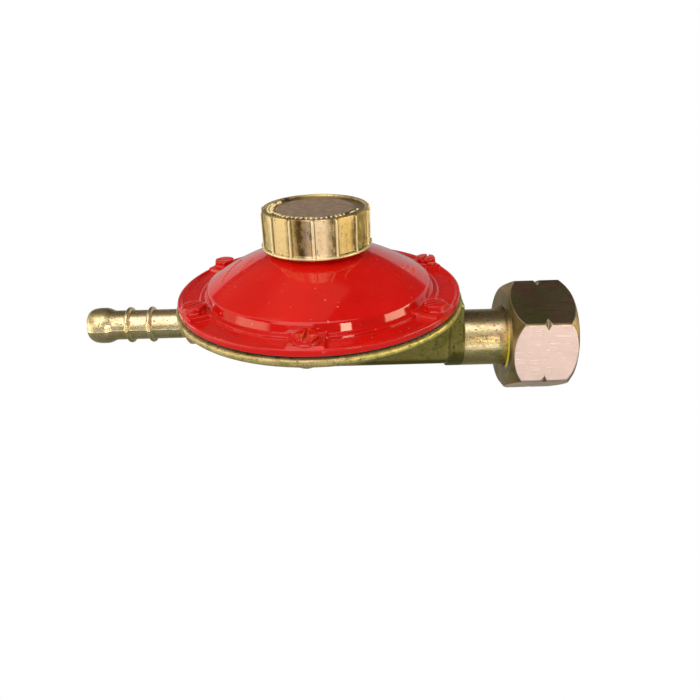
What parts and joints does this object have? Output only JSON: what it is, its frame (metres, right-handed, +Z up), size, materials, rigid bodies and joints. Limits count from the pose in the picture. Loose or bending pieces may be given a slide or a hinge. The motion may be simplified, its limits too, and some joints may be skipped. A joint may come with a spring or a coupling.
{
  "type": "gas pressure regulator",
  "caption": "Low-pressure diaphragm gas regulator: round two-shell body with a ribbed adjusting cap, a barbed hose tail and a hexagonal union nut on the inlet stem.",
  "frame": {"origin": "centre of the union nut's open mouth, on the inlet axis", "axes": "+X along the inlet axis from the hose tail to the union nut, +Z up through the adjusting cap, +Y completes the right-handed frame"},
  "size_m": [0.1423, 0.0822, 0.0585],
  "materials": {
    "chromated_zinc": "satin",
    "red_paint": "gloss",
    "red_screw_paint": "gloss",
    "black_rubber": "matte",
    "plated_steel": "satin",
    "turned_brass": "satin",
    "spring_steel": "satin",
    "seat_plastic": "satin",
    "gold_plate": "satin",
    "lever_steel": "satin",
    "copper": "satin",
    "sintered_bronze": "matte",
    "seal_rubber": "matte",
    "chromated_nut": "satin"
  },
  "bodies": {
    "regulator": {"casting": "chromated_zinc", "cover": "red_paint", "cover_screws": "red_screw_paint", "membrane": "black_rubber", "main_spring": "spring_steel", "lever_pin": "lever_steel", "nozzle": "turned_brass", "nozzle_washer": "copper", "inlet_nipple": "turned_brass", "inlet_filter": "sintered_bronze", "inlet_washer": "seal_rubber"},
    "nut": {"union_nut": "chromated_nut"},
    "seat": {"spring_seat": "seat_plastic"},
    "cap": {"adjusting_cap": "gold_plate"},
    "diaphragm_core": {"upper_plate": "plated_steel", "lower_plate": "plated_steel", "stem": "turned_brass", "stem_washer": "plated_steel", "stem_nut": "plated_steel"},
    "lever_arm": {"lever": "lever_steel"},
    "valve": {"plunger": "turned_brass", "valve_pad": "black_rubber"}
  },
  "joints": [
    {"name": "nut_spin", "type": "hinge", "parent": "regulator", "child": "nut", "pos_m": [-0.0165, 0, 0], "axis": [1, 0, 0], "continuous": true},
    {"name": "seat_lift", "type": "slide", "parent": "regulator", "child": "seat", "axis": [0, 0, 1], "range_m": [-0.0009, 0.0036], "deforming": ["main_spring"]},
    {"name": "cap_turn", "type": "hinge", "parent": "seat", "child": "cap", "pos_m": [-0.0731, 0, 0.0365], "axis": [0, 0, 1], "range_deg": [-216, 864]},
    {"name": "diaphragm_slide", "type": "slide", "parent": "regulator", "child": "diaphragm_core", "axis": [0, 0, 1], "range_m": [0, 0.0018], "stiffness_N_per_m": 1500, "springref_m": -0.01, "deforming": ["main_spring", "membrane"]},
    {"name": "lever_rock", "type": "hinge", "parent": "regulator", "child": "lever_arm", "pos_m": [-0.0611, 0, -0.0008], "axis": [0, 1, 0], "range_deg": [0, 9.07]},
    {"name": "valve_slide", "type": "slide", "parent": "regulator", "child": "valve", "axis": [1, 0, 0], "range_m": [0, 0.0003965]}
  ],
  "couplings": [
    {"joint": "seat_lift", "follows": "cap_turn", "m_per_rad": 0.00023873},
    {"joint": "lever_rock", "follows": "diaphragm_slide", "rad_per_m": 87.92},
    {"joint": "valve_slide", "follows": "diaphragm_slide", "ratio": 0.2202}
  ]
}
